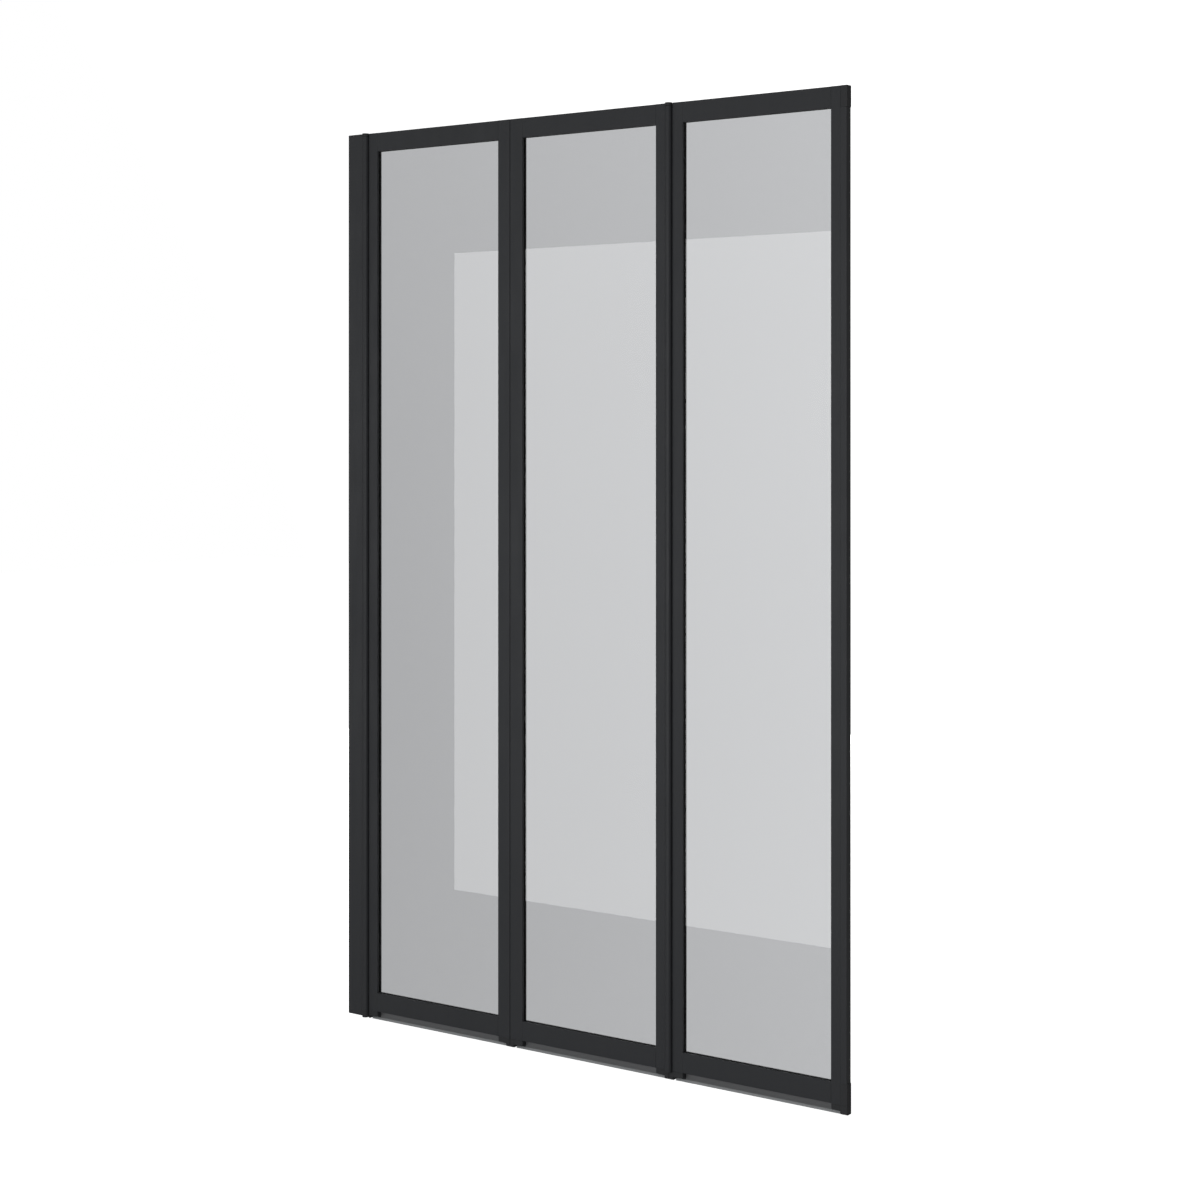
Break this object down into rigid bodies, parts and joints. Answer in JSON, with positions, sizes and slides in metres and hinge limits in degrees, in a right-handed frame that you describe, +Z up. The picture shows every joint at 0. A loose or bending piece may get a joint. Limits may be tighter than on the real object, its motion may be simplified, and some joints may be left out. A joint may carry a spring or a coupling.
{
  "type": "folding bath screen",
  "caption": "Framed concertina bath screen: wall post and tinted glass panels on upright bead hinges, with drip seals along the bottom.",
  "frame": {"origin": "on the wall plane, in the middle of the screen's thickness, level with the bath rim that the drip lips touch", "axes": "+X along the closed screen away from the wall, +Z up; the front face, with the first and third hinge beads, looks along -Y"},
  "size_m": [0.9, 0.0242, 1.4],
  "materials": {
    "frame": "satin powder coat, anthracite",
    "trim_plastic": "fine moulded texture, near black",
    "glass": "polished, light grey tint",
    "gasket_rubber": "matt black rubber",
    "drip_blade": "smooth grey, slightly see-through",
    "drip_lip": "soft, milky",
    "screw_steel": "machined",
    "bush_plastic": "smooth off-white bearing plastic"
  },
  "bodies": {
    "wall_post": {"wall_channel": "frame", "wall_cap_top": "trim_plastic", "wall_cap_bottom": "trim_plastic", "lock_screw_1": "screw_steel", "lock_screw_2": "screw_steel", "lock_screw_3": "screw_steel", "hinge_post": "frame", "wall_bush_bottom": "bush_plastic", "wall_bush_top": "bush_plastic"},
    "panel_1": {"panel_1_hinge_stile": "frame", "panel_1_top_rail": "frame", "panel_1_bottom_rail": "frame", "panel_1_glass": "glass", "panel_1_gasket": "gasket_rubber", "panel_1_drip_blade": "drip_blade", "panel_1_drip_lip": "drip_lip", "panel_1_end_block_left": "trim_plastic", "panel_1_end_block_right": "trim_plastic", "panel_1_pivot_top": "trim_plastic", "panel_1_pivot_bottom": "trim_plastic", "panel_1_hinge_seal": "gasket_rubber", "panel_1_tube_stile": "frame", "panel_1_tube_plug": "trim_plastic", "panel_1_tube_foot": "trim_plastic", "panel_1_bush_bottom": "bush_plastic", "panel_1_bush_top": "bush_plastic"},
    "panel_2": {"panel_2_hinge_stile": "frame", "panel_2_top_rail": "frame", "panel_2_bottom_rail": "frame", "panel_2_glass": "glass", "panel_2_gasket": "gasket_rubber", "panel_2_drip_blade": "drip_blade", "panel_2_drip_lip": "drip_lip", "panel_2_end_block_left": "trim_plastic", "panel_2_end_block_right": "trim_plastic", "panel_2_pivot_top": "trim_plastic", "panel_2_pivot_bottom": "trim_plastic", "panel_2_hinge_seal": "gasket_rubber", "panel_2_tube_stile": "frame", "panel_2_tube_plug": "trim_plastic", "panel_2_tube_foot": "trim_plastic", "panel_2_bush_bottom": "bush_plastic", "panel_2_bush_top": "bush_plastic"},
    "panel_3": {"panel_3_hinge_stile": "frame", "panel_3_top_rail": "frame", "panel_3_bottom_rail": "frame", "panel_3_glass": "glass", "panel_3_gasket": "gasket_rubber", "panel_3_drip_blade": "drip_blade", "panel_3_drip_lip": "drip_lip", "panel_3_end_block_left": "trim_plastic", "panel_3_end_block_right": "trim_plastic", "panel_3_pivot_top": "trim_plastic", "panel_3_pivot_bottom": "trim_plastic", "panel_3_hinge_seal": "gasket_rubber", "panel_3_end_stile": "frame", "edge_profile": "frame", "corner_cap_top": "trim_plastic", "corner_cap_bottom": "trim_plastic"}
  },
  "joints": [
    {"name": "wall_hinge", "type": "hinge", "parent": "wall_post", "child": "panel_1", "pos_m": [0.0358, -0.0068, 0.7], "axis": [0, 0, -1], "range_deg": [0, 90]},
    {"name": "middle_hinge", "type": "hinge", "parent": "panel_1", "child": "panel_2", "pos_m": [0.3229, 0.0068, 0.7], "axis": [0, 0, 1], "range_deg": [0, 180]},
    {"name": "outer_hinge", "type": "hinge", "parent": "panel_2", "child": "panel_3", "pos_m": [0.61, -0.0068, 0.7], "axis": [0, 0, -1], "range_deg": [0, 180]}
  ]
}
